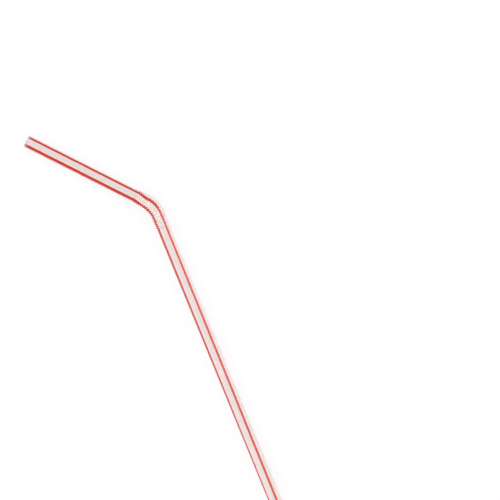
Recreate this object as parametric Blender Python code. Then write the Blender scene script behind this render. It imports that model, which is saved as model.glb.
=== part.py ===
"""Bendable drinking straw, one extruded tube with a folded bellows, lying on its side.

The tube, its coloured lines and its bellows are one piece of polypropylene, so the model is
one closed wall. Metres, +Z up. The long leg runs along +X from the foot end, the bellows turns
counter-clockwise, and the mouth leg points to +X +Y. The floor is z = 0, and the straw touches
it at its two ends and at one crest of the bellows.
"""

import math

import bmesh
import bpy
import numpy as np
from mathutils import Matrix

MM = 0.001

# The tube
OUTER_DIAMETER = 5.0 * MM
WALL = 0.15 * MM
DEVELOPED_LENGTH = 240.0 * MM  # along the centre line, from the foot end to the mouth end
MOUTH_LENGTH = 46.8 * MM  # smooth tube between the bellows and the mouth end

# The bellows
BEND_ANGLE = math.radians(40.9)
CLOSED_PITCH = 0.86 * MM  # crest to crest where the folds are pressed together
FOLD_DEPTH = 0.65 * MM  # crest to valley where the folds are pressed together
CREST_RISE = 0.35 * MM  # how far the crests stand out from the tube
FOLD_ROUNDING = 0.12 * MM  # width of the rounding on each side of a crest or a valley
STEEP_FLANK_SHARE = 0.11  # of a closed pitch, the rest is the long flank
OVAL_SHARE = 0.06  # of a fold's radius, gained in the plane of the bend and lost square to it
WIDEST_PITCH_SHARE = 0.96  # of a fold's two flanks laid end to end: it opens no further
CLOSED_FOLDS_AT_FOOT_SIDE = 6
CLOSED_FOLDS_AT_MOUTH_SIDE = 4

# The coloured lines: where the middle of the top band lies, as an angle from straight up
# towards the outer side of the bend, and how it turns towards the inner side
BAND_AT_MOUTH = math.radians(0.5)
TWIST_OF_FOLDS = math.radians(10.0)  # across the closed folds at the mouth side
TWIST_OF_FOOT_LEG = math.radians(24.0)  # along the long leg, towards its foot end

# The facets round the tube: each half is a narrow band, a line, a wide band and a line
LINE_SIDES = 2
NARROW_BAND_SIDES = 4
WIDE_BAND_SIDES = 6
FOOT_LEG_STEPS = 4
MOUTH_LEG_STEPS = 1
ROUNDING_SEGMENTS = 2

OUTER_RADIUS = OUTER_DIAMETER / 2
CREST_RADIUS = OUTER_RADIUS + CREST_RISE
# The two flanks of a fold keep their lengths when it opens
STEEP_FLANK = math.hypot(STEEP_FLANK_SHARE * CLOSED_PITCH, FOLD_DEPTH)
LONG_FLANK = math.hypot((1 - STEEP_FLANK_SHARE) * CLOSED_PITCH, FOLD_DEPTH)
# How much longer the bend's outer side is than its inner side, and what one fold can give
BEND_GROWTH = 2 * CREST_RADIUS * (1 + OVAL_SHARE) * BEND_ANGLE
FOLD_GROWTH = WIDEST_PITCH_SHARE * (STEEP_FLANK + LONG_FLANK) - CLOSED_PITCH
FOLDS_IN_BEND = math.ceil(BEND_GROWTH / FOLD_GROWTH)
# Folds on the inner side of the bend stay closed, and the others open as the bend needs
BEND_RADIUS = FOLDS_IN_BEND * CLOSED_PITCH / BEND_ANGLE + CREST_RADIUS * (1 + OVAL_SHARE)
BEND_LENGTH = BEND_ANGLE * BEND_RADIUS
STRAIGHT_AT_FOOT_SIDE = CLOSED_FOLDS_AT_FOOT_SIDE * CLOSED_PITCH
STRAIGHT_AT_MOUTH_SIDE = CLOSED_FOLDS_AT_MOUTH_SIDE * CLOSED_PITCH
BELLOWS_LENGTH = STRAIGHT_AT_FOOT_SIDE + BEND_LENGTH + STRAIGHT_AT_MOUTH_SIDE
# The steep step from the last crest down to the mouth leg
LAST_STEP = STEEP_FLANK_SHARE * CLOSED_PITCH * CREST_RISE / FOLD_DEPTH
FOOT_LENGTH = DEVELOPED_LENGTH - MOUTH_LENGTH - LAST_STEP - BELLOWS_LENGTH
BEND_START = FOOT_LENGTH + STRAIGHT_AT_FOOT_SIDE
BEND_END = BEND_START + BEND_LENGTH
BELLOWS_END = FOOT_LENGTH + BELLOWS_LENGTH

MATERIALS = {
    "milky_wall": {"color": (0.80, 0.75, 0.74, 1.0), "roughness": 0.32},
    "red_line": {"color": (0.63, 0.03, 0.02, 1.0), "roughness": 0.32},
}
MILKY, RED = range(len(MATERIALS))
LINE = (RED,) * LINE_SIDES
HALF_ROUND = (MILKY,) * NARROW_BAND_SIDES + LINE + (MILKY,) * WIDE_BAND_SIDES + LINE
SIDES = 2 * len(HALF_ROUND)


def clear_scene():
    for thing in list(bpy.data.objects):
        bpy.data.objects.remove(thing, do_unlink=True)


def make_materials():
    made = []
    for name, look in MATERIALS.items():
        material = bpy.data.materials.new(name)
        material.use_nodes = True
        shader = material.node_tree.nodes["Principled BSDF"]
        shader.inputs["Base Color"].default_value = look["color"]
        shader.inputs["Roughness"].default_value = look["roughness"]
        shader.inputs["Metallic"].default_value = 0.0
        made.append(material)
    return made


def heading_at(along):
    """Direction of the centre line, an angle from +X, at distances along it."""
    return np.clip((along - BEND_START) / BEND_RADIUS, 0.0, BEND_ANGLE)


def centre_line(along):
    """Points of the centre line: the long leg on +X, the arc, then the mouth leg."""
    heading = heading_at(along)
    before = np.minimum(along, BEND_START)
    after = np.maximum(along - BEND_END, 0.0)
    x = before + BEND_RADIUS * np.sin(heading) + after * np.cos(heading)
    y = BEND_RADIUS * (1 - np.cos(heading)) + after * np.sin(heading)
    return np.stack([x, y], axis=-1)


def oval_at(along):
    """How oval the section is: nothing outside the bend, and most in the middle of it."""
    return OVAL_SHARE * np.sin(math.pi * heading_at(along) / BEND_ANGLE) ** 2


def band_angle(along):
    """Where the middle of the top band lies, at one distance along the straw."""
    folds_passed = np.clip((BELLOWS_END - along) / STRAIGHT_AT_MOUTH_SIDE, 0.0, 1.0)
    leg_passed = np.clip((FOOT_LENGTH - along) / FOOT_LENGTH, 0.0, 1.0)
    return BAND_AT_MOUTH - TWIST_OF_FOLDS * folds_passed - TWIST_OF_FOOT_LEG * leg_passed


def facet_angles(along):
    """Angles of a ring's corners, from straight up towards the outer side of the bend."""
    return band_angle(along) + np.arange(SIDES) * (2 * math.pi / SIDES)


def ring_points(angles, along, radius):
    """Corners of one ring, from their angles, distances along the straw and radii."""
    centre = centre_line(along)
    heading = heading_at(along)
    outwards = radius * (1 + oval_at(along)) * np.sin(angles)
    x = centre[:, 0] + outwards * np.sin(heading)
    y = centre[:, 1] - outwards * np.cos(heading)
    z = OUTER_RADIUS + radius * (1 - oval_at(along)) * np.cos(angles)
    return np.stack([x, y, z], axis=1)


def tube_ring(along):
    angles = facet_angles(along)
    return ring_points(angles, np.full(SIDES, along), np.full(SIDES, OUTER_RADIUS))


def open_fold(pitch):
    """The fold's triangle at a given pitch: where its valley is, and how deep.

    Its sides are the steep flank, the long flank and the pitch between two crests. Also gives
    how far a sharp crest has to stand out for its rounded top to have the crest's radius.
    """
    valley = (pitch**2 + STEEP_FLANK**2 - LONG_FLANK**2) / (2 * pitch)
    depth = np.sqrt(STEEP_FLANK**2 - valley**2)
    steep = np.arctan2(valley, depth)
    shallow = np.arctan2(pitch - valley, depth)
    half_angle = (shallow + steep) / 2
    lean = (shallow - steep) / 2
    proud = FOLD_ROUNDING * (np.cos(lean) / np.cos(half_angle) - np.tan(half_angle))
    return valley / pitch, depth, proud


def fold_rings(start, length, bent):
    """The valley ring and the crest ring of the fold that starts at a crest."""
    rings = []
    for is_crest in (False, True):
        nominal = start + length * (1.0 if is_crest else STEEP_FLANK_SHARE)
        angles = facet_angles(nominal)
        reach = CREST_RADIUS * (1 + oval_at(nominal)) * np.sin(angles)
        stretch = 1 + reach / BEND_RADIUS if bent else np.ones(SIDES)
        share, depth, proud = open_fold(length * stretch)
        along = np.full(SIDES, nominal) if is_crest else start + length * share
        radius = CREST_RADIUS + (proud if is_crest else proud - depth)
        rings.append(ring_points(angles, along, radius))
    return rings


def bellows_rings():
    """Valleys and crests in turn, from the foot leg's last ring to before the mouth leg's."""
    groups = (
        (FOOT_LENGTH, STRAIGHT_AT_FOOT_SIDE, CLOSED_FOLDS_AT_FOOT_SIDE, False),
        (BEND_START, BEND_LENGTH, FOLDS_IN_BEND, True),
        (BEND_END, STRAIGHT_AT_MOUTH_SIDE, CLOSED_FOLDS_AT_MOUTH_SIDE, False),
    )
    rings = []
    for start, length, folds, bent in groups:
        pitch = length / folds
        for fold in range(folds):
            rings += fold_rings(start + fold * pitch, pitch, bent)
    return rings


def lay_down(points):
    """Turns the straw about the line under its two ends, until a crest lies on the floor."""
    foot, mouth = centre_line(np.array([0.0, DEVELOPED_LENGTH]))
    between = (mouth - foot) / np.linalg.norm(mouth - foot)
    aside = np.array([between[1], -between[0]])
    outer_crests = centre_line(np.array([FOOT_LENGTH + CLOSED_PITCH, BELLOWS_END]))
    lean = math.atan(CREST_RISE / ((outer_crests - foot) @ aside).min())
    away = (points[..., :2] - foot) @ aside
    height = points[..., 2]
    leaned = away * math.cos(lean) - height * math.sin(lean)
    plan = points[..., :2] + (leaned - away)[..., None] * aside
    raised = away * math.sin(lean) + height * math.cos(lean)
    return np.concatenate([plan, raised[..., None]], axis=-1)


def side_material(side):
    """Which of the materials a facet has: counted from the middle of the top band."""
    return HALF_ROUND[(side + NARROW_BAND_SIDES // 2) % len(HALF_ROUND)]


def outer_skin():
    """The straw's outer surface as an open tube of rings, with its fold edges marked."""
    foot_leg = [tube_ring(s) for s in np.linspace(0.0, FOOT_LENGTH, FOOT_LEG_STEPS + 1)]
    bellows = bellows_rings()
    mouth_start = DEVELOPED_LENGTH - MOUTH_LENGTH
    mouth_stations = np.linspace(mouth_start, DEVELOPED_LENGTH, MOUTH_LEG_STEPS + 1)
    rings = foot_leg + bellows + [tube_ring(s) for s in mouth_stations]
    fold_rings_at = range(FOOT_LEG_STEPS, FOOT_LEG_STEPS + len(bellows) + 2)

    skin = bmesh.new()
    loops = [[skin.verts.new(corner) for corner in ring] for ring in lay_down(np.array(rings))]
    for lower, upper in zip(loops, loops[1:]):
        for side in range(SIDES):
            after = (side + 1) % SIDES
            face = skin.faces.new((lower[side], lower[after], upper[after], upper[side]))
            face.material_index = side_material(side)
            face.smooth = True
    rounded = skin.edges.layers.float.new("bevel_weight_edge")
    for index in fold_rings_at:
        for side in range(SIDES):
            edge = skin.edges.get((loops[index][side], loops[index][(side + 1) % SIDES]))
            edge[rounded] = 1.0
    for edge in skin.edges:
        edge.smooth = not edge.is_boundary
    return skin


def make_straw():
    mesh = bpy.data.meshes.new("straw")
    skin = outer_skin()
    skin.to_mesh(mesh)
    skin.free()
    for material in make_materials():
        mesh.materials.append(material)
    straw = bpy.data.objects.new("straw", mesh)
    bpy.context.scene.collection.objects.link(straw)

    wall = straw.modifiers.new("wall", "SOLIDIFY")
    wall.thickness = WALL
    wall.offset = -1.0
    wall.use_even_offset = True
    wall.use_quality_normals = True

    rounding = straw.modifiers.new("fold_rounding", "BEVEL")
    rounding.limit_method = "WEIGHT"
    rounding.width = FOLD_ROUNDING
    rounding.segments = ROUNDING_SEGMENTS
    return straw


def centre_in_plan(straw):
    """Moves the mesh so that the middle of the finished straw's box is over the origin."""
    finished = straw.evaluated_get(bpy.context.evaluated_depsgraph_get())
    corners = np.array(finished.bound_box)
    middle = (corners.min(axis=0) + corners.max(axis=0)) / 2
    straw.data.transform(Matrix.Translation((-middle[0], -middle[1], 0.0)))


clear_scene()
centre_in_plan(make_straw())
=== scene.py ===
"""Looks of a bendable drinking straw: a milky tube with four thin red lines and a folded bellows.

The straw is extruded in one wall, so it is one closed mesh. Its surface is a grid: the
columns run along the straw with the coloured lines, and the rows go once round the wall's
section, from the foot end over the outer skin to the mouth end and back through the bore.
Metres, +Z up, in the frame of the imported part.
"""

import logging
import math
from dataclasses import dataclass
from enum import Enum

import bpy
import numpy as np
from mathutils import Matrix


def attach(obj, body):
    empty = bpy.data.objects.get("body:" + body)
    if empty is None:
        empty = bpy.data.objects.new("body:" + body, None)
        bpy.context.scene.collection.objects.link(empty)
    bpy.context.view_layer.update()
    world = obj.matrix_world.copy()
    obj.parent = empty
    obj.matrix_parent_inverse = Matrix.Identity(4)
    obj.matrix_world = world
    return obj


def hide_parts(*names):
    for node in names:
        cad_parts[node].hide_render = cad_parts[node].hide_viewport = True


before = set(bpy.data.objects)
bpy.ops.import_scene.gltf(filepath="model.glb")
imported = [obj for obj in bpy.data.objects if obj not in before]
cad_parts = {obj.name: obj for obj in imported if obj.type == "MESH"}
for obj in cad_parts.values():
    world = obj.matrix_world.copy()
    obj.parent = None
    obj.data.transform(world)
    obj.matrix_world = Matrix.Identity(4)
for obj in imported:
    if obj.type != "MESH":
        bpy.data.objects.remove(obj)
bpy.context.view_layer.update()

MM = 0.001
TURN = 2 * math.pi
LOG = logging.getLogger("straw")
Socket = bpy.types.NodeSocket


@dataclass(frozen=True)
class StrawSizes:
    """Real sizes of the straw, in metres and radians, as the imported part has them."""

    outer_diameter: float = 5.0 * MM
    wall: float = 0.15 * MM
    developed_length: float = 240.0 * MM
    mouth_length: float = 46.8 * MM
    bend_angle: float = math.radians(40.9)
    closed_pitch: float = 0.86 * MM
    fold_depth: float = 0.65 * MM
    crest_rise: float = 0.35 * MM
    fold_rounding: float = 0.12 * MM
    rim_rounding: float = 0.04 * MM
    steep_flank_share: float = 0.11
    oval_share: float = 0.06
    widest_pitch_share: float = 0.96
    folds_at_foot_side: int = 6
    folds_at_mouth_side: int = 4

    @property
    def outer_radius(self) -> float:
        """Radius of the smooth tube's outside."""
        return self.outer_diameter / 2

    @property
    def crest_radius(self) -> float:
        """Radius over the bellows' crests."""
        return self.outer_radius + self.crest_rise

    @property
    def folds_in_bend(self) -> int:
        """As many folds as it takes for the bend's outer side to be the longer one."""
        growth = 2 * self.crest_radius * (1 + self.oval_share) * self.bend_angle
        flanks = self.steep_flank + self.long_flank
        return math.ceil(growth / (self.widest_pitch_share * flanks - self.closed_pitch))

    @property
    def folds(self) -> int:
        """All the folds of the bellows."""
        return self.folds_at_foot_side + self.folds_in_bend + self.folds_at_mouth_side

    @property
    def bend_radius(self) -> float:
        """Radius of the centre line in the bend, where the inner side's folds stay closed."""
        inner_side = self.folds_in_bend * self.closed_pitch / self.bend_angle
        return inner_side + self.crest_radius * (1 + self.oval_share)

    @property
    def bend_length(self) -> float:
        """Length of the centre line in the bend."""
        return self.bend_angle * self.bend_radius

    @property
    def straight_at_foot(self) -> float:
        """Length of the closed folds on the foot's side of the bend."""
        return self.folds_at_foot_side * self.closed_pitch

    @property
    def straight_at_mouth(self) -> float:
        """Length of the closed folds on the mouth's side of the bend."""
        return self.folds_at_mouth_side * self.closed_pitch

    @property
    def mouth_start(self) -> float:
        """Where the smooth mouth leg begins, along the centre line."""
        return self.developed_length - self.mouth_length

    @property
    def bellows_end(self) -> float:
        """Where the last crest is, along the centre line."""
        last_step = self.steep_flank_share * self.closed_pitch * self.crest_rise / self.fold_depth
        return self.mouth_start - last_step

    @property
    def bend_end(self) -> float:
        """Where the bend ends, along the centre line."""
        return self.bellows_end - self.straight_at_mouth

    @property
    def bend_start(self) -> float:
        """Where the bend begins, along the centre line."""
        return self.bend_end - self.bend_length

    @property
    def foot_length(self) -> float:
        """Where the smooth long leg ends, along the centre line."""
        return self.bend_start - self.straight_at_foot

    @property
    def steep_flank(self) -> float:
        """Length of a fold's steep flank in the section."""
        return math.hypot(self.steep_flank_share * self.closed_pitch, self.fold_depth)

    @property
    def long_flank(self) -> float:
        """Length of a fold's long flank in the section."""
        return math.hypot((1 - self.steep_flank_share) * self.closed_pitch, self.fold_depth)


@dataclass(frozen=True)
class LineLayout:
    """Where the four coloured lines run, as angles round the straw.

    An angle is measured from straight up towards the outer side of the bend, and the lines
    lie in pairs beside the middle of the top band and of the band opposite to it. The
    turning back begins in the bend, by a share of the length of the closed folds below it.
    """

    band_at_mouth: float = math.radians(2.3)
    twist_of_folds: float = math.radians(15.5)
    turn_back: float = math.radians(3.5)
    turn_back_lead: float = 0.5
    twist_of_foot_leg: float = math.radians(24.0)
    from_band: float = math.radians(41.5)
    outer_width_at_mouth: float = math.radians(27.0)
    outer_width_at_foot: float = math.radians(20.0)
    inner_width_at_mouth: float = math.radians(34.0)
    inner_width_at_foot: float = math.radians(36.0)

    def band_angle(self, sizes: StrawSizes, along: np.ndarray) -> np.ndarray:
        """Angle of the top band's middle at distances along the straw.

        Args:
            sizes: The straw's sizes.
            along: Distances from the foot end, in metres.

        Returns:
            The angles in radians, in the shape of along.
        """
        folds = np.clip((sizes.bellows_end - along) / sizes.straight_at_mouth, 0.0, 1.0)
        below_bend = (sizes.bend_start - along) / sizes.straight_at_foot
        back = np.clip(below_bend + self.turn_back_lead, 0.0, 1.0)
        leg = np.clip((sizes.foot_length - along) / sizes.foot_length, 0.0, 1.0)
        twist = self.twist_of_folds * folds - self.turn_back * back + self.twist_of_foot_leg * leg
        return self.band_at_mouth - twist


@dataclass(frozen=True)
class SectionDetail:
    """How finely the wall is drawn: its columns, and points on each part of its section."""

    columns: int = 128
    fold_points: int = 7
    rim_points: int = 5
    foot_leg_points: int = 40
    mouth_leg_points: int = 14
    long_flank_points: int = 3
    steep_flank_points: int = 1


class CentreLine:
    """The straw's centre line: the long leg, the arc of the bend and the mouth leg."""

    def __init__(self, sizes: StrawSizes) -> None:
        """Keeps the sizes that the line follows."""
        self.sizes = sizes

    def heading(self, along: np.ndarray) -> np.ndarray:
        """Direction of the line at distances along it, as angles from +X."""
        sizes = self.sizes
        return np.clip((along - sizes.bend_start) / sizes.bend_radius, 0.0, sizes.bend_angle)

    def points(self, along: np.ndarray) -> np.ndarray:
        """Points of the line in plan: straight, then an arc, then straight again.

        Args:
            along: Distances along the line, in metres.

        Returns:
            Pairs of x and y, on a last axis of their own.
        """
        sizes = self.sizes
        heading = self.heading(along)
        before = np.minimum(along, sizes.bend_start)
        after = np.maximum(along - sizes.bend_end, 0.0)
        x = before + sizes.bend_radius * np.sin(heading) + after * np.cos(heading)
        y = sizes.bend_radius * (1 - np.cos(heading)) + after * np.sin(heading)
        return np.stack([x, y], axis=-1)

    def oval(self, along: np.ndarray) -> np.ndarray:
        """How oval the section is: nothing outside the bend, and most in its middle."""
        share = self.heading(along) / self.sizes.bend_angle
        return self.sizes.oval_share * np.sin(math.pi * share) ** 2

    def legs_meet(self) -> np.ndarray:
        """Finds the point where the two legs' straight axes cross.

        Returns:
            The point in plan, as x and y.
        """
        sizes = self.sizes
        reach = sizes.bend_radius * math.tan(sizes.bend_angle / 2)
        return np.array([sizes.bend_start + reach, 0.0])


class WallSection:
    """The closed section of the wall, drawn for every column of the straw at once."""

    def __init__(self, sizes: StrawSizes, lines: LineLayout, detail: SectionDetail) -> None:
        """Keeps the sizes, and spreads the columns evenly from the top band's middle.

        Args:
            sizes: The straw's sizes.
            lines: Where the coloured lines run, which the columns follow.
            detail: How finely the wall is drawn.
        """
        self.sizes = sizes
        self.lines = lines
        self.detail = detail
        self.path = CentreLine(sizes)
        self.turns = np.arange(detail.columns) / detail.columns

    def angles(self, along: np.ndarray) -> np.ndarray:
        """Angles of the columns at distances along the straw, one column to an entry."""
        return self.lines.band_angle(self.sizes, along) + TURN * self.turns

    def open_fold(self, pitch: np.ndarray) -> tuple[np.ndarray, np.ndarray, np.ndarray]:
        """Shape of a fold whose two flanks keep their lengths as its pitch opens.

        The fold is the triangle of the steep flank, the long flank and the pitch. Its
        valley's place and depth follow from the three sides. The sharp crest stands out
        by the amount that its rounding cuts off.

        Args:
            pitch: Distances from crest to crest, in metres.

        Returns:
            The valley's place as a share of the pitch, the depth, and how far the sharp
            crest stands out, each in the shape of pitch.
        """
        sizes = self.sizes
        valley = (pitch**2 + sizes.steep_flank**2 - sizes.long_flank**2) / (2 * pitch)
        depth = np.sqrt(sizes.steep_flank**2 - valley**2)
        steep = np.arctan2(valley, depth)
        shallow = np.arctan2(pitch - valley, depth)
        half_angle = (shallow + steep) / 2
        lean = (shallow - steep) / 2
        proud = sizes.fold_rounding * (np.cos(lean) / np.cos(half_angle) - np.tan(half_angle))
        return valley / pitch, depth, proud

    def folds(
        self, start: float, length: float, count: int, bent: bool
    ) -> tuple[np.ndarray, np.ndarray]:
        """Corners of a run of equal folds: a valley and a crest for each fold in turn.

        Args:
            start: Where the run begins, at a crest or at the tube's end.
            length: The run's length on the centre line.
            count: How many folds it has.
            bent: Whether the run lies in the bend, where the outer side's folds open.

        Returns:
            Distances along the straw and radii, two rows a fold and one column an entry.
        """
        sizes = self.sizes
        pitch = length / count
        starts = np.repeat(start + pitch * np.arange(count), 2)[:, None]
        is_crest = np.tile([False, True], count)[:, None]
        nominal = starts + pitch * np.where(is_crest, 1.0, sizes.steep_flank_share)
        reach = sizes.crest_radius * (1 + self.path.oval(nominal)) * np.sin(self.angles(nominal))
        stretch = 1 + reach / sizes.bend_radius * bent
        share, depth, proud = self.open_fold(pitch * stretch)
        along = np.where(is_crest, nominal, starts + pitch * share)
        radius = sizes.crest_radius + proud - np.where(is_crest, 0.0, depth)
        return along, radius

    def outer_corners(self) -> tuple[np.ndarray, np.ndarray]:
        """Corners of the outer skin from the foot end to the mouth end.

        Returns:
            Distances along the straw and radii, one row a corner and one column an entry.
        """
        sizes = self.sizes
        level = np.ones((1, self.detail.columns))
        runs = [
            (0.0 * level, sizes.outer_radius * level),
            (sizes.foot_length * level, sizes.outer_radius * level),
            self.folds(sizes.foot_length, sizes.straight_at_foot, sizes.folds_at_foot_side, False),
            self.folds(sizes.bend_start, sizes.bend_length, sizes.folds_in_bend, True),
            self.folds(sizes.bend_end, sizes.straight_at_mouth, sizes.folds_at_mouth_side, False),
            (sizes.mouth_start * level, sizes.outer_radius * level),
            (sizes.developed_length * level, sizes.outer_radius * level),
        ]
        return tuple(np.concatenate(part) for part in zip(*runs))

    def stretch(self, along: np.ndarray) -> np.ndarray:
        """Real length per length of centre line, between each corner and the next.

        Args:
            along: Distances of the corners along the straw, one row a corner.

        Returns:
            The ratios, in the shape of along: more than one on the bend's outer side.
        """
        sizes = self.sizes
        middle = (along + np.roll(along, -1, axis=0)) / 2
        in_bend = (middle > sizes.bend_start) & (middle < sizes.bend_end)
        reach = sizes.crest_radius * np.sin(self.angles(middle))
        return np.where(in_bend, 1 + reach / sizes.bend_radius, 1.0)

    def inner_corners(
        self, along: np.ndarray, radius: np.ndarray
    ) -> tuple[np.ndarray, np.ndarray]:
        """Corners of the bore's skin, one wall inside the outer skin everywhere.

        Each corner moves along the mitre of the normals n1 and n2 of the faces that meet
        there, by the wall times (n1 + n2) / (1 + n1 . n2).

        Args:
            along: Distances of the outer corners along the straw.
            radius: Radii of the outer corners.

        Returns:
            Distances and radii of the inner corners, in the same order.
        """
        stretch = self.stretch(along)[:-1]
        run = np.diff(along, axis=0) * stretch
        rise = np.diff(radius, axis=0)
        size = np.hypot(run, rise)
        normal = np.stack([-rise / size, run / size])
        before, after = normal[:, :-1], normal[:, 1:]
        mitre = (before + after) / (1 + (before * after).sum(axis=0))
        inner_along, inner_radius = along.copy(), radius - self.sizes.wall
        between = (stretch[:-1] + stretch[1:]) / 2
        inner_along[1:-1] = along[1:-1] - self.sizes.wall * mitre[0] / between
        inner_radius[1:-1] = radius[1:-1] - self.sizes.wall * mitre[1]
        return inner_along, inner_radius

    def rounding_plan(self) -> list[tuple[float, int, int]]:
        """Says how each corner of the closed section is rounded and joined to the next.

        Returns:
            For each corner its rounding, the points on the rounding and the points from
            there to the next one, out along the outer skin and back through the bore.
        """
        sizes, detail = self.sizes, self.detail
        fold = (sizes.fold_rounding, detail.fold_points)
        rim = (sizes.rim_rounding, detail.rim_points)
        out = [(*rim, detail.foot_leg_points)]
        out += [(*fold, detail.steep_flank_points), (*fold, detail.long_flank_points)] * sizes.folds
        out += [(*fold, detail.steep_flank_points), (*fold, detail.mouth_leg_points), (*rim, 1)]
        gaps_back = [between for _, _, between in out[-2::-1]] + [1]
        back = [(*corner[:2], between) for corner, between in zip(out[::-1], gaps_back)]
        return out + back

    def draw(self) -> tuple[np.ndarray, np.ndarray, int]:
        """Points of the whole closed section, with every corner rounded.

        A corner P between points A and B, both one rounding away from it on its two
        sides, becomes the curve (1-t)^2 A + 2t(1-t) P + t^2 B.

        Returns:
            Distances along the straw and radii, one row a point and one column an entry,
            and the number of points on the outer skin.
        """
        outer = self.outer_corners()
        inner = self.inner_corners(*outer)
        section = np.stack([np.concatenate([o, i[::-1]]) for o, i in zip(outer, inner)])
        along, radius = section
        length = np.hypot(
            (np.roll(along, -1, axis=0) - along) * self.stretch(along),
            np.roll(radius, -1, axis=0) - radius,
        )
        plan = self.rounding_plan()
        rows = []
        for index, (width, points, between) in enumerate(plan):
            following = (index + 1) % len(plan)
            here = section[:, index]
            ahead = section[:, following]
            behind = section[:, index - 1]
            start = here + (behind - here) * width / length[index - 1]
            end = here + (ahead - here) * width / length[index]
            t = np.linspace(0.0, 1.0, points)[:, None, None]
            rows.append((1 - t) ** 2 * start + 2 * t * (1 - t) * here + t**2 * end)
            next_start = ahead + (here - ahead) * plan[following][0] / length[index]
            t = np.linspace(0.0, 1.0, between + 2)[1:-1, None, None]
            rows.append((1 - t) * end + t * next_start)
        drawn = np.concatenate(rows)
        outer_rows = sum(points + between for _, points, between in plan[: len(outer[0])])
        return drawn[:, 0], drawn[:, 1], outer_rows


@dataclass(frozen=True)
class BakeLayout:
    """How the outer skin and the bore share the bake map, as shares of its sides."""

    margin: float = 0.005
    outer_left: float = 0.005
    outer_width: float = 0.75
    bore_left: float = 0.765
    bore_width: float = 0.23
    bellows_stretch: float = 2.5


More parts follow.
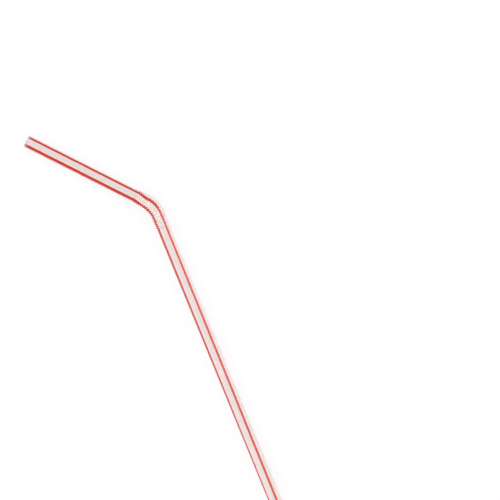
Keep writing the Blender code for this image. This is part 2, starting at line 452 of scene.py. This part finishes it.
class StrawTube:
    """The straw's mesh: the wall's section swept round the bent centre line."""

    def __init__(self, section: WallSection) -> None:
        """Keeps the section, and its sizes and centre line.

        Args:
            section: The wall's section.
        """
        self.section = section
        self.sizes = section.sizes
        self.path = section.path

    def lay_down(self, points: np.ndarray) -> np.ndarray:
        """Turns points about the line under the two ends, until a crest is on the floor.

        Args:
            points: Points of the straw with its bend level, as x, y and z.

        Returns:
            The points of the straw as it rests on its two ends and on the bellows.
        """
        sizes = self.sizes
        foot, mouth = self.path.points(np.array([0.0, sizes.developed_length]))
        between = (mouth - foot) / np.linalg.norm(mouth - foot)
        aside = np.array([between[1], -between[0]])
        ends = np.array([sizes.foot_length + sizes.closed_pitch, sizes.bellows_end])
        lean = math.atan(sizes.crest_rise / ((self.path.points(ends) - foot) @ aside).min())
        away = (points[..., :2] - foot) @ aside
        height = points[..., 2]
        leaned = away * math.cos(lean) - height * math.sin(lean)
        plan = points[..., :2] + (leaned - away)[..., None] * aside
        raised = away * math.sin(lean) + height * math.cos(lean)
        return np.concatenate([plan, raised[..., None]], axis=-1)

    def points(self, along: np.ndarray, radius: np.ndarray) -> np.ndarray:
        """Places the section's points round the centre line.

        A point at angle a, radius r and heading h lies r sin(a) from the centre line, in
        plan and square to h, and r cos(a) above it.

        Args:
            along: Distances along the straw.
            radius: Radii, in the same shape.

        Returns:
            The points as x, y and z, in the straw's own frame and not yet centred.
        """
        angles = self.section.angles(along)
        heading = self.path.heading(along)
        oval = self.path.oval(along)
        centre = self.path.points(along)
        outwards = radius * (1 + oval) * np.sin(angles)
        x = centre[..., 0] + outwards * np.sin(heading)
        y = centre[..., 1] - outwards * np.cos(heading)
        z = self.sizes.outer_radius + radius * (1 - oval) * np.cos(angles)
        return self.lay_down(np.stack([x, y, z], axis=-1))

    def build(self) -> tuple[bpy.types.Object, np.ndarray]:
        """Makes the mesh object.

        Returns:
            The object, and the point in plan where the axes of its two legs cross.
        """
        along, radius, outer_rows = self.section.draw()
        points = self.points(along, radius)
        middle = (points.min(axis=(0, 1)) + points.max(axis=(0, 1))) / 2
        middle[2] = 0.0
        points = points - middle
        mesh = bpy.data.meshes.new("straw_surface")
        mesh.from_pydata(points.reshape(-1, 3), [], self.faces(*along.shape).tolist())
        mesh.shade_smooth()
        self.add_pattern_map(mesh, along)
        self.add_valley_depth(mesh, radius)
        self.add_bake_map(mesh, points, along, outer_rows)
        straw = bpy.data.objects.new("striped_straw", mesh)
        bpy.context.scene.collection.objects.link(straw)
        return straw, self.path.legs_meet() - middle[:2]

    @staticmethod
    def faces(rows: int, columns: int) -> np.ndarray:
        """Joins a grid's points to four-sided faces, closed both ways.

        Args:
            rows: Points round the wall's section.
            columns: Points round the straw.

        Returns:
            Four point numbers a face, row by row.
        """
        row = np.arange(rows)[:, None]
        column = np.arange(columns)[None, :]
        next_row, next_column = (row + 1) % rows, (column + 1) % columns
        corners = [
            row * columns + column,
            row * columns + next_column,
            next_row * columns + next_column,
            next_row * columns + column,
        ]
        return np.stack(corners, axis=-1).reshape(-1, 4)

    @staticmethod
    def turns(columns: int) -> np.ndarray:
        """Turns round the straw at the four corners of each column's faces."""
        column = np.arange(columns)
        return np.stack([column, column + 1, column + 1, column], axis=-1) / columns

    @staticmethod
    def set_map(mesh: bpy.types.Mesh, name: str, u: np.ndarray, v: np.ndarray) -> None:
        """Adds a map with the given u and v at the corners of the mesh's faces."""
        layer = mesh.uv_layers.new(name=name)
        layer.uv.foreach_set("vector", np.stack(np.broadcast_arrays(u, v), axis=-1).ravel())

    def add_pattern_map(self, mesh: bpy.types.Mesh, along: np.ndarray) -> None:
        """Maps turns from the top band's middle to u, and the share of the length to v.

        Args:
            mesh: The straw's mesh.
            along: Distances along the straw, one row a point of the section.
        """
        share = along / self.sizes.developed_length
        ahead = np.roll(share, -1, axis=0)
        beside, beside_ahead = np.roll(share, -1, axis=1), np.roll(ahead, -1, axis=1)
        v = np.stack([share, beside, beside_ahead, ahead], axis=-1)
        self.set_map(mesh, "Pattern", self.turns(along.shape[1])[None], v)

    def add_valley_depth(self, mesh: bpy.types.Mesh, radius: np.ndarray) -> None:
        """Keeps at each point how deep it is in a fold, from nothing to one.

        Args:
            mesh: The straw's mesh.
            radius: Radii, one row a point of the section.
        """
        depth = (self.sizes.crest_radius - radius) / self.sizes.fold_depth
        valley = mesh.attributes.new("valley", "FLOAT", "POINT")
        valley.data.foreach_set("value", np.clip(depth, 0.0, 1.0).ravel())

    def add_bake_map(
        self, mesh: bpy.types.Mesh, points: np.ndarray, along: np.ndarray, outer_rows: int
    ) -> None:
        """Unrolls both skins side by side, with more room for the bellows than its length.

        Args:
            mesh: The straw's mesh.
            points: The mesh's points, one row a point of the section.
            along: Distances along the straw, in the same rows.
            outer_rows: How many rows belong to the outer skin.
        """
        layout = BakeLayout()
        step = np.linalg.norm(np.roll(points, -1, axis=0) - points, axis=-1).mean(axis=1)
        place = along.mean(axis=1)
        in_bellows = (place > self.sizes.foot_length) & (place < self.sizes.mouth_start)
        step = step * np.where(in_bellows, layout.bellows_stretch, 1.0)
        is_outer = np.arange(len(step)) < outer_rows
        share, high = np.empty_like(step), np.empty_like(step)
        for skin in (is_outer, ~is_outer):
            share[skin] = step[skin] / step[skin].sum()
            high[skin] = np.cumsum(share[skin])
        low = high - share
        v = layout.margin + (1 - 2 * layout.margin) * np.stack([low, low, high, high], axis=-1)
        left = np.where(is_outer, layout.outer_left, layout.bore_left)[:, None, None]
        width = np.where(is_outer, layout.outer_width, layout.bore_width)[:, None, None]
        u = left + width * self.turns(along.shape[1])[None]
        self.set_map(mesh, "OFBake", u, v[:, None, :])


class Plastic(Enum):
    """Colours of the milky and the red plastic, linear, with painted shade, painted light and a
    painted glow among them.
    """

    MILKY = (0.780, 0.708, 0.712, 1.0)
    MILKY_AT_FOOT = (0.815, 0.735, 0.735, 1.0)
    # Fold colours: partly whiter plastic, partly painted light against the folds' shade.
    OPEN_FOLDS = (0.848, 0.704, 0.660, 1.0)
    CLOSED_FOLDS = (0.855, 0.762, 0.745, 1.0)
    # Painted light in the fold valleys, lifting the shade that falls in them.
    CREASE_PAINTED_LIGHT = (0.975, 0.940, 0.930, 1.0)
    CLOUD = (0.930, 0.880, 0.875, 1.0)
    # Greyer towards the mouth end.
    GREYER_MOUTH_END = (0.650, 0.600, 0.640, 1.0)
    # Painted shade on the bend's outer side, where the open folds shade themselves.
    PULLED_SIDE_SHADE = (0.760, 0.700, 0.700, 1.0)
    # Painted shade on the bend's inner side, where the pressed folds shade each other.
    PINCHED_SIDE_SHADE = (0.240, 0.110, 0.090, 1.0)
    # Painted glow: the red lines' light scattered in the milky wall beside them.
    GLOW_BESIDE_LINES = (0.950, 0.735, 0.690, 1.0)
    GLOW_BESIDE_FOLDED_LINES = (0.960, 0.815, 0.780, 1.0)
    RED = (0.590, 0.018, 0.001, 1.0)
    # Lighter red: painted light in the folds, and on the outer lines below the bend.
    BRIGHT_RED = (0.690, 0.024, 0.002, 1.0)


class NodeSheet:
    """Adds nodes with their constants and links to one tree."""

    def __init__(self, tree: bpy.types.NodeTree) -> None:
        """Keeps the tree."""
        self.tree = tree

    def node(self, kind: str, **inputs: object) -> bpy.types.Node:
        """Adds a node and sets or links its inputs.

        Args:
            kind: The node's type name.
            **inputs: Constants or outputs by input name, with _ for a space.

        Returns:
            The node.
        """
        made = self.tree.nodes.new(kind)
        for name, value in inputs.items():
            self.feed(made.inputs[name.replace("_", " ")], value)
        return made

    def feed(self, socket: Socket, value: object) -> None:
        """Links an input to another node's output, or sets it to a constant.

        Args:
            socket: The input.
            value: The output to link, or the constant.
        """
        if isinstance(value, Socket):
            self.tree.links.new(value, socket)
        else:
            socket.default_value = value

    def math(self, operation: str, *values: object) -> Socket:
        """Adds a Math node.

        Args:
            operation: What it works out.
            *values: Its inputs, as constants or outputs of other nodes.

        Returns:
            The result.
        """
        made = self.tree.nodes.new("ShaderNodeMath")
        made.operation = operation
        for socket, value in zip(made.inputs, values):
            self.feed(socket, value)
        return made.outputs[0]

    def remap(
        self, value: object, low: float, high: float, to_low: float, to_high: float
    ) -> Socket:
        """Maps a range to another, clamped and smooth at both ends.

        Args:
            value: What is mapped.
            low: Where the range begins.
            high: Where the range ends.
            to_low: The result up to low.
            to_high: The result from high on.

        Returns:
            The result.
        """
        made = self.tree.nodes.new("ShaderNodeMapRange")
        made.interpolation_type = "SMOOTHSTEP"
        for socket, given in zip(made.inputs, (value, low, high, to_low, to_high)):
            self.feed(socket, given)
        return made.outputs["Result"]

    def mix(self, factor: object, a: object, b: object) -> Socket:
        """Mixes two colours.

        Args:
            factor: The share of the second colour.
            a: The first colour.
            b: The second colour.

        Returns:
            The mixed colour.
        """
        made = self.tree.nodes.new("ShaderNodeMix")
        made.data_type = "RGBA"
        for name, value in (("Factor", factor), ("A", a), ("B", b)):
            matching = [s for s in made.inputs if s.name == name and s.enabled]
            self.feed(matching[0], value)
        return next(s for s in made.outputs if s.name == "Result" and s.enabled)

    def noise(self, vector: object, scale: float, detail: float) -> Socket:
        """Noise of a scale and a detail at the given place, from nothing to one."""
        made = self.node("ShaderNodeTexNoise", Vector=vector, Scale=scale, Detail=detail)
        return made.outputs["Fac"]

    def point(self, x: object, y: object, z: object) -> Socket:
        """Puts three values together as a place."""
        return self.node("ShaderNodeCombineXYZ", X=x, Y=y, Z=z).outputs["Vector"]

    def map_place(self, name: str) -> tuple[Socket, Socket]:
        """Reads one of the mesh's own maps.

        Args:
            name: The map's name.

        Returns:
            Its u and v.
        """
        own_map = self.node("ShaderNodeUVMap")
        own_map.uv_map = name
        split = self.node("ShaderNodeSeparateXYZ", Vector=own_map.outputs["UV"])
        return split.outputs["X"], split.outputs["Y"]

    def point_value(self, name: str) -> Socket:
        """Reads a value that the mesh keeps at its points.

        Args:
            name: The value's name.

        Returns:
            The value.
        """
        made = self.node("ShaderNodeAttribute")
        made.attribute_name = name
        return made.outputs["Fac"]


def new_material(name: str) -> tuple[bpy.types.Material, NodeSheet, bpy.types.Node]:
    """Makes a material with the plain shader that Blender gives it.

    Args:
        name: The material's name.

    Returns:
        The material, its nodes and its shader.
    """
    material = bpy.data.materials.new(name)
    material.use_nodes = True
    return material, NodeSheet(material.node_tree), material.node_tree.nodes["Principled BSDF"]


@dataclass(frozen=True)
class WallPattern:
    """What the wall's finish follows, as outputs of nodes that run from nothing to one."""

    u: Socket
    v: Socket
    streak: Socket
    mottle: Socket
    at_mouth: Socket
    folded: Socket
    opened: Socket
    creased: Socket


@dataclass(frozen=True)
class SoftPatch:
    """A patch of the straw's side that is full round its middle and fades out beyond.

    Its lengths are half lengths along the straw, and its turns half widths round it.
    """

    along: float
    full_length: float
    faded_length: float
    turn: float
    full_turn: float
    faded_turn: float

    def mask(self, sheet: NodeSheet, pattern: WallPattern, length: float) -> Socket:
        """Works out how full the patch is.

        Args:
            sheet: The material's nodes.
            pattern: What the finish follows.
            length: The straw's length.

        Returns:
            A value from nothing to one.
        """
        off_middle = sheet.math("SUBTRACT", pattern.v, self.along / length)
        off_middle = sheet.math("ABSOLUTE", off_middle)
        full, faded = self.full_length / length, self.faded_length / length
        lengthways = sheet.remap(off_middle, full, faded, 1.0, 0.0)
        off_side = sheet.math("ABSOLUTE", sheet.math("SUBTRACT", pattern.u, self.turn))
        across = sheet.remap(off_side, self.full_turn, self.faded_turn, 1.0, 0.0)
        return sheet.math("MULTIPLY", lengthways, across)


@dataclass(frozen=True)
class StripedPlastic:
    """Milky polypropylene with four red lines, satin gloss.

    The lines' edge, the reach of the painted glow beside them and their wander are turns round the
    straw. A density is how much of the red shows, and the paler shares are taken off it; in the
    folds and creases these are painted light against the folds' shade. Ranges are of noise.
    """

    lines: LineLayout
    sizes: StrawSizes

    line_edge: float = 0.0035
    line_glow_reach: float = 0.052
    line_glow_share: float = 0.85
    wander: float = 0.004
    wander_scale: float = 60.0
    density_at_foot: float = 0.90
    density_at_mouth: float = 1.00
    paler_outer_line: float = 0.045
    folded_outer_line_painted_light: float = 0.05
    crease_line_painted_light: float = 0.05
    least_streaked: float = 0.95
    streaked_range: tuple[float, float] = (0.25, 0.75)

    fine_detail: float = 3.0
    coarse_detail: float = 2.0
    cloud_scale: float = 160.0
    streak_scale: float = 5.0
    streak_run: float = 0.8
    cloud_range: tuple[float, float] = (0.35, 0.70)
    cloud_share: float = 0.16
    crease_light_share: float = 0.85
    pinch_shade_share: float = 0.55
    end_grey_share: float = 0.62
    end_grey_length: float = 1.5 * MM

    smoothest: float = 0.29
    roughest: float = 0.40
    rougher_folds: float = 0.30
    rough_range: tuple[float, float] = (0.2, 0.8)
    streak_relief: float = 0.02 * MM
    streak_bump: float = 0.25
    scatter_depth: float = 0.15 * MM
    refraction: float = 1.49

    @property
    def pulled_side_shade(self) -> SoftPatch:
        """Painted shade on the outer side of the bend, where the folds are pulled open."""
        return SoftPatch(
            along=self.sizes.bend_end - 2.0 * MM,
            full_length=4.8 * MM,
            faded_length=9.0 * MM,
            turn=0.25,
            full_turn=0.12,
            faded_turn=0.20,
        )

    @property
    def pinched_side_shade(self) -> SoftPatch:
        """Painted shade on the inner side of the bend, where the folds are pressed together."""
        return SoftPatch(
            along=self.sizes.bend_end - 1.8 * MM,
            full_length=0.8 * MM,
            faded_length=2.4 * MM,
            turn=0.79,
            full_turn=0.03,
            faded_turn=0.09,
        )

    def step_up(self, sheet: NodeSheet, v: object, start: float, end: float) -> Socket:
        """Rises from nothing to one between two distances along the straw.

        Args:
            sheet: The material's nodes.
            v: Share of the straw's length.
            start: Distance up to which it is nothing.
            end: Distance from which it is one.

        Returns:
            The value.
        """
        length = self.sizes.developed_length
        return sheet.remap(v, start / length, end / length, 0.0, 1.0)

    def read_pattern(self, sheet: NodeSheet) -> WallPattern:
        """Works out what the finish follows: noise, the straw's parts and the folds.

        Args:
            sheet: The material's nodes.

        Returns:
            The values.
        """
        sizes = self.sizes
        pitch = sizes.closed_pitch
        u, v = sheet.map_place("Pattern")
        place = sheet.node("ShaderNodeTexCoord").outputs["Object"]
        cloud = sheet.noise(place, self.cloud_scale, self.fine_detail)
        angle = sheet.math("MULTIPLY", u, TURN)
        streak_place = sheet.point(
            sheet.math("COSINE", angle),
            sheet.math("SINE", angle),
            sheet.math("MULTIPLY", v, self.streak_run),
        )
        streak = sheet.noise(streak_place, self.streak_scale, self.coarse_detail)
        mottle = sheet.math("MULTIPLY", sheet.math("ADD", cloud, streak), 0.5)
        at_mouth = self.step_up(sheet, v, sizes.bellows_end - pitch, sizes.bellows_end)
        past_foot_leg = self.step_up(sheet, v, sizes.foot_length, sizes.foot_length + pitch)
        folded = sheet.math("SUBTRACT", past_foot_leg, at_mouth)
        opened = sheet.math(
            "SUBTRACT",
            self.step_up(sheet, v, sizes.bend_start - pitch, sizes.bend_start + pitch),
            self.step_up(sheet, v, sizes.bend_end - pitch, sizes.bend_end + pitch),
        )
        creased = sheet.math("MULTIPLY", folded, sheet.point_value("valley"))
        return WallPattern(u, v, streak, mottle, at_mouth, folded, opened, creased)

    def off_line(self, sheet: NodeSheet, pattern: WallPattern) -> Socket:
        """Measures how far a point is from the middle of the nearest line.

        The two pairs of lines lie alike beside two bands half a turn apart, so a place is
        first brought within a quarter turn of the nearer band's middle.

        Args:
            sheet: The material's nodes.
            pattern: What the finish follows.

        Returns:
            The distance in turns.
        """
        half_turn, quarter_turn = 0.5, 0.25
        wander_place = sheet.point(sheet.math("MULTIPLY", pattern.v, self.wander_scale), 0.0, 0.0)
        wander = sheet.noise(wander_place, 1.0, self.coarse_detail)
        shift = sheet.math("MULTIPLY", sheet.math("SUBTRACT", wander, 0.5), self.wander)
        shifted = sheet.math("ADD", sheet.math("ADD", pattern.u, shift), 1.0 + quarter_turn)
        wrapped = sheet.math("MODULO", shifted, half_turn)
        from_band = sheet.math("ABSOLUTE", sheet.math("SUBTRACT", wrapped, quarter_turn))
        from_line = sheet.math("SUBTRACT", from_band, self.lines.from_band / TURN)
        return sheet.math("ABSOLUTE", from_line)

    def half_width(self, sheet: NodeSheet, pattern: WallPattern) -> Socket:
        """Works out half a line's width, which differs by side and changes in the bend.

        Args:
            sheet: The material's nodes.
            pattern: What the finish follows.

        Returns:
            Half the width in turns.
        """
        lines, sizes = self.lines, self.sizes
        past_bend = self.step_up(sheet, pattern.v, sizes.bend_start, sizes.bend_end)
        outer, inner = (
            sheet.math("MULTIPLY_ADD", past_bend, (mouth - foot) / TURN / 2, foot / TURN / 2)
            for mouth, foot in (
                (lines.outer_width_at_mouth, lines.outer_width_at_foot),
                (lines.inner_width_at_mouth, lines.inner_width_at_foot),
            )
        )
        on_inner_side = sheet.math("GREATER_THAN", pattern.u, 0.5)
        gain = sheet.math("MULTIPLY", on_inner_side, sheet.math("SUBTRACT", inner, outer))
        return sheet.math("ADD", outer, gain)

    def milky(self, sheet: NodeSheet, pattern: WallPattern, depth: object) -> Socket:
        """Colours the milky plastic: lighter folds, partly whiter plastic and partly painted light
        against the folds' shade, clouds, painted shade on the bend's outer side, a painted glow
        beside the lines and painted light in the fold valleys.

        Args:
            sheet: The material's nodes.
            pattern: What the finish follows.
            depth: Turns inside the nearest line's edge, less than nothing outside it.

        Returns:
            The colour.
        """
        legs = sheet.mix(pattern.at_mouth, Plastic.MILKY_AT_FOOT.value, Plastic.MILKY.value)
        # The folds are lighter: partly whiter plastic, partly painted light against their shade.
        folds = sheet.mix(pattern.opened, Plastic.CLOSED_FOLDS.value, Plastic.OPEN_FOLDS.value)
        colour = sheet.mix(pattern.folded, legs, folds)
        clouded = sheet.remap(pattern.mottle, *self.cloud_range, 0.0, self.cloud_share)
        colour = sheet.mix(clouded, colour, Plastic.CLOUD.value)
        # Painted shade on the bend's outer side, where the folds open.
        pulled = self.pulled_side_shade.mask(sheet, pattern, self.sizes.developed_length)
        colour = sheet.mix(pulled, colour, Plastic.PULLED_SIDE_SHADE.value)
        # Painted glow of the red lines' light, scattered in the milky wall beside them.
        beside = Plastic.GLOW_BESIDE_LINES.value, Plastic.GLOW_BESIDE_FOLDED_LINES.value
        line_glow = sheet.mix(pattern.folded, *beside)
        line_glow_amount = sheet.remap(depth, -self.line_glow_reach, 0.0, 0.0, self.line_glow_share)
        colour = sheet.mix(line_glow_amount, colour, line_glow)
        # Painted light in the fold valleys, against the shade that falls in them.
        crease_light = sheet.math("MULTIPLY", pattern.creased, self.crease_light_share)
        return sheet.mix(crease_light, colour, Plastic.CREASE_PAINTED_LIGHT.value)

    def striped(
        self, sheet: NodeSheet, pattern: WallPattern, milky: object, depth: object
    ) -> Socket:
        """Lays the red lines over the milky plastic, with painted light on them in the folds and
        creases, and paler on the outer lines below the bend.

        Args:
            sheet: The material's nodes.
            pattern: What the finish follows.
            milky: The milky plastic's colour.
            depth: Turns inside the nearest line's edge, less than nothing outside it.

        Returns:
            The colour.
        """
        past_bend = self.step_up(sheet, pattern.v, self.sizes.foot_length, self.sizes.bend_end)
        on_outer_side = sheet.math("LESS_THAN", pattern.u, 0.5)
        before_bend = sheet.math("SUBTRACT", 1.0, past_bend)
        outer_line = sheet.math("MULTIPLY", on_outer_side, before_bend)
        folded_outer_line = sheet.math("MULTIPLY", outer_line, pattern.folded)
        gain = self.density_at_mouth - self.density_at_foot
        density = sheet.math("MULTIPLY_ADD", past_bend, gain, self.density_at_foot)
        # Less red in the folds and creases is painted light against their shade.
        for where, paler_by in (
            (outer_line, self.paler_outer_line),
            (folded_outer_line, self.folded_outer_line_painted_light),
            (pattern.creased, self.crease_line_painted_light),
        ):
            density = sheet.math("MULTIPLY_ADD", where, -paler_by, density)
        streaked = sheet.remap(pattern.streak, *self.streaked_range, self.least_streaked, 1.0)
        inside = sheet.remap(depth, -self.line_edge, self.line_edge, 0.0, 1.0)
        strength = sheet.math("MULTIPLY", sheet.math("MULTIPLY", inside, density), streaked)
        # Lighter red in the folds is painted light against their shade; the outer lines below the
        # bend are lighter too.
        brighter = sheet.math("MAXIMUM", pattern.folded, outer_line)
        red = sheet.mix(brighter, Plastic.RED.value, Plastic.BRIGHT_RED.value)
        return sheet.mix(strength, milky, red)

    def colour(self, sheet: NodeSheet, pattern: WallPattern) -> Socket:
        """Works out the wall's colour, with painted shade on the pinched side and a greyer mouth
        end.

        Args:
            sheet: The material's nodes.
            pattern: What the finish follows.

        Returns:
            The colour.
        """
        length = self.sizes.developed_length
        half_width = self.half_width(sheet, pattern)
        depth = sheet.math("SUBTRACT", half_width, self.off_line(sheet, pattern))
        striped = self.striped(sheet, pattern, self.milky(sheet, pattern, depth), depth)
        # Painted shade on the inner side of the bend.
        pinched = self.pinched_side_shade.mask(sheet, pattern, length)
        pinched = sheet.math("MULTIPLY", pinched, self.pinch_shade_share)
        striped = sheet.mix(pinched, striped, Plastic.PINCHED_SIDE_SHADE.value)
        # Greyer towards the mouth end.
        end_grey_start = 1.0 - self.end_grey_length / length
        end_grey = sheet.remap(pattern.v, end_grey_start, 1.0, 0.0, self.end_grey_share)
        return sheet.mix(end_grey, striped, Plastic.GREYER_MOUTH_END.value)

    def make(self) -> bpy.types.Material:
        """Makes the material.

        Returns:
            The material, patterned on the straw's own map.
        """
        material, sheet, shader = new_material("striped_plastic")
        shader.inputs["Metallic"].default_value = 0.0
        shader.inputs["IOR"].default_value = self.refraction
        shader.inputs["Subsurface Weight"].default_value = 1.0
        shader.inputs["Subsurface Scale"].default_value = self.scatter_depth
        shader.inputs["Subsurface Radius"].default_value = (1.0, 1.0, 1.0)

        pattern = self.read_pattern(sheet)
        sheet.feed(shader.inputs["Base Color"], self.colour(sheet, pattern))
        rough = sheet.remap(pattern.mottle, *self.rough_range, self.smoothest, self.roughest)
        rough = sheet.math("MULTIPLY_ADD", pattern.folded, self.rougher_folds, rough)
        sheet.feed(shader.inputs["Roughness"], rough)
        bump = sheet.node(
            "ShaderNodeBump",
            Strength=self.streak_bump,
            Distance=self.streak_relief,
            Height=pattern.streak,
        )
        sheet.feed(shader.inputs["Normal"], bump.outputs["Normal"])
        return material


@dataclass(frozen=True)
class WhiteGround:
    """The plain pale floor, the dull ceiling and the white surroundings.

    Greys and the glow are levels in linear light. What is seen reads white, and what
    lights the straw is duller from above than from the sides.
    """

    floor_size: float = 6.0
    floor_below: float = 0.05 * MM
    floor_grey: float = 0.80
    seen_floor_grey: float = 0.20
    seen_floor_glow: float = 0.81
    ceiling_size: float = 4.2
    ceiling_height: float = 3.0
    ceiling_grey: float = 0.25
    side_light: float = 1.4

    @staticmethod
    def seen(sheet: NodeSheet) -> Socket:
        """One for camera, glossy and transmission rays, and nothing for the others.

        Args:
            sheet: The nodes of a material or of the world.

        Returns:
            The value.
        """
        path = sheet.node("ShaderNodeLightPath").outputs
        mirrored = sheet.math("MAXIMUM", path["Is Glossy Ray"], path["Is Transmission Ray"])
        return sheet.math("MAXIMUM", path["Is Camera Ray"], mirrored)

    @staticmethod
    def grey(level: float) -> tuple[float, float, float, float]:
        """A grey of the given level."""
        return (level, level, level, 1.0)

    @staticmethod
    def square(
        name: str, size: float, height: float, faces_up: bool, material: bpy.types.Material
    ) -> bpy.types.Object:
        """Makes a level square over the middle of the straw.

        Args:
            name: The object's name.
            size: Length of its sides.
            height: Its height.
            faces_up: Whether its face points up, and not down.
            material: Its material.

        Returns:
            The square.
        """
        half = size / 2
        corners = [(-half, -half), (half, -half), (half, half), (-half, half)]
        if not faces_up:
            corners.reverse()
        mesh = bpy.data.meshes.new(name)
        mesh.from_pydata([(x, y, height) for x, y in corners], [], [(0, 1, 2, 3)])
        mesh.materials.append(material)
        made = bpy.data.objects.new(name, mesh)
        bpy.context.scene.collection.objects.link(made)
        return made

    def floor(self) -> bpy.types.Object:
        """Makes the floor, which reads white and still takes the straw's soft shadow.

        Returns:
            The floor.
        """
        material, sheet, shader = new_material("floor_white")
        shader.inputs["Specular IOR Level"].default_value = 0.0
        shader.inputs["Roughness"].default_value = 1.0
        shader.inputs["Emission Color"].default_value = self.grey(1.0)
        seen = self.seen(sheet)
        pale = sheet.mix(seen, self.grey(self.floor_grey), self.grey(self.seen_floor_grey))
        glow = sheet.math("MULTIPLY", seen, self.seen_floor_glow)
        sheet.feed(shader.inputs["Base Color"], pale)
        sheet.feed(shader.inputs["Emission Strength"], glow)
        return self.square("floor", self.floor_size, -self.floor_below, True, material)

    def ceiling(self) -> bpy.types.Object:
        """Makes the ceiling, so that the straw's sides are lit more than its top.

        Returns:
            The ceiling.
        """
        material, _, shader = new_material("ceiling_grey")
        shader.inputs["Base Color"].default_value = self.grey(self.ceiling_grey)
        shader.inputs["Roughness"].default_value = 1.0
        shader.inputs["Specular IOR Level"].default_value = 0.0
        return self.square("ceiling", self.ceiling_size, self.ceiling_height, False, material)

    def world(self) -> None:
        """Makes the surroundings, white to the eye and stronger as a light."""
        world = bpy.data.worlds.new("white_studio")
        world.use_nodes = True
        sheet = NodeSheet(world.node_tree)
        background = world.node_tree.nodes["Background"]
        background.inputs["Color"].default_value = self.grey(1.0)
        light = self.side_light
        strength = sheet.math("MULTIPLY_ADD", self.seen(sheet), 1.0 - light, light)
        sheet.feed(background.inputs["Strength"], strength)
        bpy.context.scene.world = world


@dataclass(frozen=True)
class SoftLamp:
    """A large square lamp that points at the middle of the straw, in metres and watts."""

    name: str
    place: tuple[float, float, float]
    size: float
    power: float

    def add(self) -> bpy.types.Object:
        """Adds the lamp to the scene.

        Returns:
            The lamp object.
        """
        data = bpy.data.lights.new(self.name, "AREA")
        data.shape = "SQUARE"
        data.size = self.size
        data.energy = self.power
        lamp = bpy.data.objects.new(self.name, data)
        x, y, z = self.place
        lamp.location = self.place
        lamp.rotation_euler = (math.atan2(math.hypot(x, y), z), 0.0, math.atan2(x, -y))
        bpy.context.scene.collection.objects.link(lamp)
        return lamp


LAMPS = (
    SoftLamp("key", place=(-0.5, 0.4, 1.4), size=1.2, power=1.6),
    SoftLamp("fill", place=(0.7, -0.6, 1.2), size=1.2, power=0.8),
)


@dataclass(frozen=True)
class PhotoCamera:
    """The camera straight above the straw, turned as the photograph shows it.

    The offset is from the point where the legs' axes cross to the picture's middle.
    """

    frame_width: float = 189.4 * MM
    lens: float = 100.0
    sensor: float = 36.0
    nearest: float = 0.01
    offset: tuple[float, float] = (-29.21 * MM, -27.10 * MM)
    turn: float = math.radians(-112.3)

    def add(self, legs_meet: np.ndarray, axis_height: float) -> bpy.types.Object:
        """Adds the camera to the scene.

        Args:
            legs_meet: The point in plan where the legs' axes cross.
            axis_height: The height of the straw's axis above the floor.

        Returns:
            The camera object.
        """
        data = bpy.data.cameras.new("photo_camera")
        data.type = "PERSP"
        data.sensor_width = self.sensor
        data.lens = self.lens
        data.clip_start = self.nearest
        camera = bpy.data.objects.new("photo_camera", data)
        distance = self.frame_width * self.lens / self.sensor
        x, y = legs_meet + np.array(self.offset)
        camera.location = (x, y, axis_height + distance)
        camera.rotation_euler = (0.0, 0.0, self.turn)
        bpy.context.scene.collection.objects.link(camera)
        bpy.context.scene.camera = camera
        return camera


def main() -> None:
    """Builds the straw, its surroundings and the camera, in that order."""
    logging.basicConfig(level=logging.INFO, format="%(name)s: %(message)s")
    sizes = StrawSizes()
    lines = LineLayout()
    section = WallSection(sizes, lines, SectionDetail())
    straw, legs_meet = StrawTube(section).build()
    straw.data.materials.append(StripedPlastic(lines, sizes).make())
    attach(straw, "root")
    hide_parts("straw")
    LOG.info("straw: %d faces", len(straw.data.polygons))

    ground = WhiteGround()
    ground.floor()
    ground.ceiling()
    ground.world()
    for lamp in LAMPS:
        lamp.add()
    PhotoCamera().add(legs_meet, sizes.crest_radius)
    LOG.info("ground, lamps and camera are in place")

    bpy.context.scene.view_settings.view_transform = "Standard"


if __name__ == "__main__":
    main()
